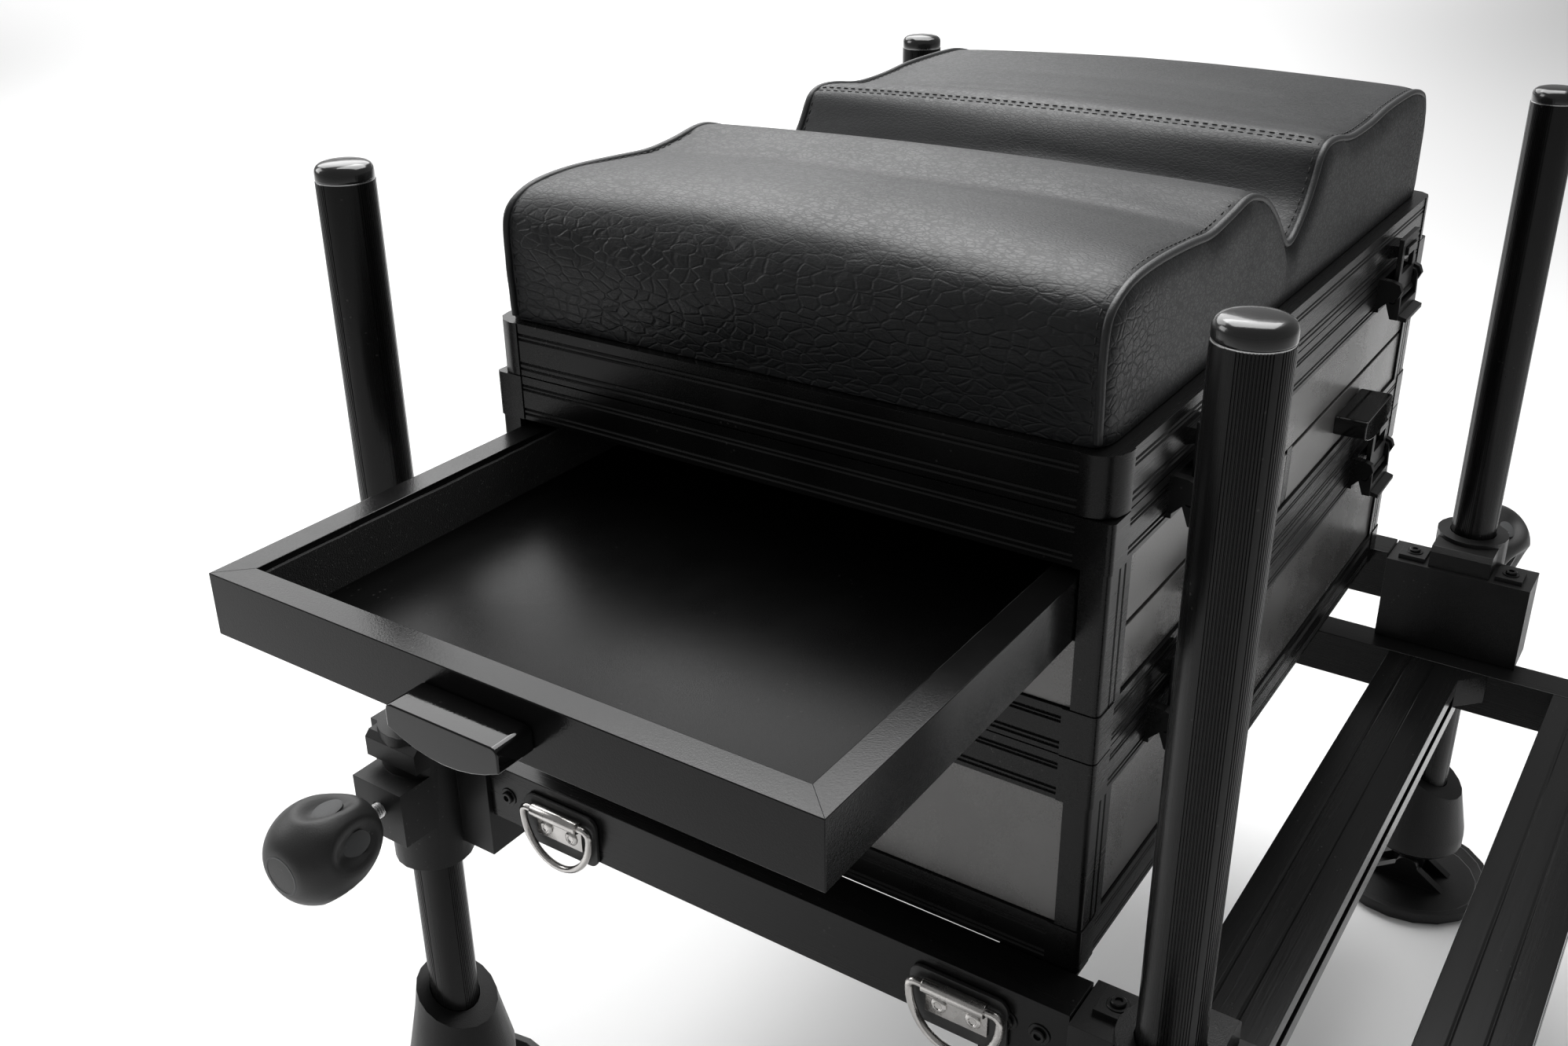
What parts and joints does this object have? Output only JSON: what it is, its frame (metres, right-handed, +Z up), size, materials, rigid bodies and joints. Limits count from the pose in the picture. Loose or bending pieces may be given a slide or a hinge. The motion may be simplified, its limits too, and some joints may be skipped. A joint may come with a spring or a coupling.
{
  "type": "fishing seat box",
  "caption": "Seat box of stacked modules with drawers under a two-hump cushion, on clamped telescopic legs with tilting feet and a sliding footplate frame",
  "frame": {"origin": "centre of the object's outline at floor level, with the side drawer open and the footplate out", "axes": "+Z up; the angler sits facing -Y; the side drawer opens toward -X"},
  "size_m": [0.7294, 0.5444, 0.5321],
  "materials": {
    "frame_black": "black anodised satin",
    "panel_grey": "satin grey sheet",
    "drawer_black": "black satin",
    "pull_gloss": "high gloss",
    "casting_black": "satin",
    "plastic_black": "matt",
    "knob_rubber": "soft black with grey inserts",
    "cushion_leather": "grained black artificial leather",
    "ring_steel": "bright"
  },
  "bodies": {
    "box": {"base_frame": "frame_black", "base_panel_left": "panel_grey", "base_panel_right": "panel_grey", "base_panel_front": "panel_grey", "base_panel_back": "panel_grey", "base_floor": "frame_black", "side_rail_left": "frame_black", "side_rail_right": "frame_black", "strap_plate_front": "ring_steel", "strap_plate_back": "ring_steel", "leg_block_front_left": "casting_black", "leg_block_front_right": "casting_black", "leg_block_back_right": "casting_black", "leg_block_back_left": "casting_black"},
    "drawer_stack": {"drawer_frame": "frame_black", "drawer_panel_left": "panel_grey", "drawer_panel_right": "panel_grey", "drawer_panel_front": "panel_grey", "drawer_panel_back": "panel_grey", "drawer_carcass": "frame_black"},
    "side_drawer": {"side_drawer": "drawer_black", "side_drawer_pull": "pull_gloss"},
    "seat_lid": {"seat_frame": "frame_black", "seat_cushion": "cushion_leather"},
    "footplate": {"footplate_slide_left": "frame_black", "footplate_slide_right": "frame_black", "footplate_rail_near": "frame_black", "footplate_rail_far": "frame_black"},
    "front_drawer_left": {"front_drawer_left": "panel_grey", "front_drawer_pull_left": "pull_gloss"},
    "front_drawer_right": {"front_drawer_right": "panel_grey", "front_drawer_pull_right": "pull_gloss"},
    "lower_lever_left": {"lower_latch_lever_left": "plastic_black"},
    "lower_loop_left": {"lower_latch_loop_left": "plastic_black"},
    "lower_lever_right": {"lower_latch_lever_right": "plastic_black"},
    "lower_loop_right": {"lower_latch_loop_right": "plastic_black"},
    "upper_lever_left": {"upper_latch_lever_left": "plastic_black"},
    "upper_loop_left": {"upper_latch_loop_left": "plastic_black"},
    "upper_lever_right": {"upper_latch_lever_right": "plastic_black"},
    "upper_loop_right": {"upper_latch_loop_right": "plastic_black"},
    "leg_front_left": {"leg_front_left": "frame_black", "foot_socket_front_left": "plastic_black"},
    "foot_front_left": {"foot_disc_front_left": "plastic_black"},
    "knob_front_left": {"clamp_knob_front_left": "knob_rubber"},
    "leg_front_right": {"leg_front_right": "frame_black", "foot_socket_front_right": "plastic_black"},
    "foot_front_right": {"foot_disc_front_right": "plastic_black"},
    "knob_front_right": {"clamp_knob_front_right": "knob_rubber"},
    "leg_back_right": {"leg_back_right": "frame_black", "foot_socket_back_right": "plastic_black"},
    "foot_back_right": {"foot_disc_back_right": "plastic_black"},
    "knob_back_right": {"clamp_knob_back_right": "knob_rubber"},
    "leg_back_left": {"leg_back_left": "frame_black", "foot_socket_back_left": "plastic_black"},
    "foot_back_left": {"foot_disc_back_left": "plastic_black"},
    "knob_back_left": {"clamp_knob_back_left": "knob_rubber"},
    "ring_front": {"strap_ring_front": "ring_steel"},
    "ring_back": {"strap_ring_back": "ring_steel"}
  },
  "joints": [
    {"name": "stack_hinge", "type": "hinge", "parent": "box", "child": "drawer_stack", "pos_m": [0.03065, 0.17855, 0.3406], "axis": [-1, 0, 0], "range_deg": [0, 34]},
    {"name": "seat_hinge", "type": "hinge", "parent": "drawer_stack", "child": "seat_lid", "pos_m": [0.03065, 0.17855, 0.4395], "axis": [-1, 0, 0], "range_deg": [0, 95]},
    {"name": "side_drawer_slide", "type": "slide", "parent": "drawer_stack", "child": "side_drawer", "axis": [-1, 0, 0], "range_m": [-0.164, 0.1]},
    {"name": "footplate_slide", "type": "slide", "parent": "box", "child": "footplate", "axis": [0, -1, 0], "range_m": [-0.1, 0.06]},
    {"name": "front_drawer_slide_left", "type": "slide", "parent": "drawer_stack", "child": "front_drawer_left", "axis": [0, -1, 0], "range_m": [0, 0.19]},
    {"name": "front_drawer_slide_right", "type": "slide", "parent": "drawer_stack", "child": "front_drawer_right", "axis": [0, -1, 0], "range_m": [0, 0.19]},
    {"name": "lower_latch_left", "type": "hinge", "parent": "box", "child": "lower_lever_left", "pos_m": [-0.11135, -0.12125, 0.3346], "axis": [-1, 0, 0], "range_deg": [0, 110]},
    {"name": "lower_latch_loop_left", "type": "hinge", "parent": "lower_lever_left", "child": "lower_loop_left", "pos_m": [-0.11135, -0.12125, 0.3286], "axis": [-1, 0, 0], "range_deg": [-150, 0]},
    {"name": "lower_latch_right", "type": "hinge", "parent": "box", "child": "lower_lever_right", "pos_m": [0.17265, -0.12125, 0.3346], "axis": [-1, 0, 0], "range_deg": [0, 110]},
    {"name": "lower_latch_loop_right", "type": "hinge", "parent": "lower_lever_right", "child": "lower_loop_right", "pos_m": [0.17265, -0.12125, 0.3286], "axis": [-1, 0, 0], "range_deg": [-150, 0]},
    {"name": "upper_latch_left", "type": "hinge", "parent": "drawer_stack", "child": "upper_lever_left", "pos_m": [-0.11135, -0.12125, 0.4335], "axis": [-1, 0, 0], "range_deg": [0, 110]},
    {"name": "upper_latch_loop_left", "type": "hinge", "parent": "upper_lever_left", "child": "upper_loop_left", "pos_m": [-0.11135, -0.12125, 0.4275], "axis": [-1, 0, 0], "range_deg": [-150, 0]},
    {"name": "upper_latch_right", "type": "hinge", "parent": "drawer_stack", "child": "upper_lever_right", "pos_m": [0.17265, -0.12125, 0.4335], "axis": [-1, 0, 0], "range_deg": [0, 110]},
    {"name": "upper_latch_loop_right", "type": "hinge", "parent": "upper_lever_right", "child": "upper_loop_right", "pos_m": [0.17265, -0.12125, 0.4275], "axis": [-1, 0, 0], "range_deg": [-150, 0]},
    {"name": "leg_slide_front_left", "type": "slide", "parent": "box", "child": "leg_front_left", "axis": [0, 0, 1], "range_m": [-0.2, 0.05]},
    {"name": "foot_tilt_front_left", "type": "hinge", "parent": "leg_front_left", "child": "foot_front_left", "pos_m": [-0.21335, -0.16275, 0.016], "axis": [1, 0, 0], "range_deg": [-20, 20]},
    {"name": "knob_turn_front_left", "type": "hinge", "parent": "box", "child": "knob_front_left", "pos_m": [-0.25235, -0.16275, 0.222], "axis": [1, 0, 0], "continuous": true},
    {"name": "leg_slide_front_right", "type": "slide", "parent": "box", "child": "leg_front_right", "axis": [0, 0, 1], "range_m": [-0.2, 0.05]},
    {"name": "foot_tilt_front_right", "type": "hinge", "parent": "leg_front_right", "child": "foot_front_right", "pos_m": [0.27465, -0.16275, 0.016], "axis": [1, 0, 0], "range_deg": [-20, 20]},
    {"name": "knob_turn_front_right", "type": "hinge", "parent": "box", "child": "knob_front_right", "pos_m": [0.31365, -0.16275, 0.222], "axis": [1, 0, 0], "continuous": true},
    {"name": "leg_slide_back_right", "type": "slide", "parent": "box", "child": "leg_back_right", "axis": [0, 0, 1], "range_m": [-0.2, 0.05]},
    {"name": "foot_tilt_back_right", "type": "hinge", "parent": "leg_back_right", "child": "foot_back_right", "pos_m": [0.27465, 0.22225, 0.016], "axis": [1, 0, 0], "range_deg": [-20, 20]},
    {"name": "knob_turn_back_right", "type": "hinge", "parent": "box", "child": "knob_back_right", "pos_m": [0.31365, 0.22225, 0.222], "axis": [1, 0, 0], "continuous": true},
    {"name": "leg_slide_back_left", "type": "slide", "parent": "box", "child": "leg_back_left", "axis": [0, 0, 1], "range_m": [-0.2, 0.05]},
    {"name": "foot_tilt_back_left", "type": "hinge", "parent": "leg_back_left", "child": "foot_back_left", "pos_m": [-0.21335, 0.22225, 0.016], "axis": [1, 0, 0], "range_deg": [-20, 20]},
    {"name": "knob_turn_back_left", "type": "hinge", "parent": "box", "child": "knob_back_left", "pos_m": [-0.25235, 0.22225, 0.222], "axis": [1, 0, 0], "continuous": true},
    {"name": "strap_ring_swing_front", "type": "hinge", "parent": "box", "child": "ring_front", "pos_m": [-0.21365, -0.07575, 0.233], "axis": [0, 1, 0], "range_deg": [0, 150]},
    {"name": "strap_ring_swing_back", "type": "hinge", "parent": "box", "child": "ring_back", "pos_m": [-0.21365, 0.13525, 0.233], "axis": [0, 1, 0], "range_deg": [0, 150]}
  ],
  "couplings": [
    {"joint": "lower_latch_loop_left", "follows": "lower_latch_left", "ratio": -1},
    {"joint": "lower_latch_loop_right", "follows": "lower_latch_right", "ratio": -1},
    {"joint": "upper_latch_loop_left", "follows": "upper_latch_left", "ratio": -1},
    {"joint": "upper_latch_loop_right", "follows": "upper_latch_right", "ratio": -1}
  ]
}
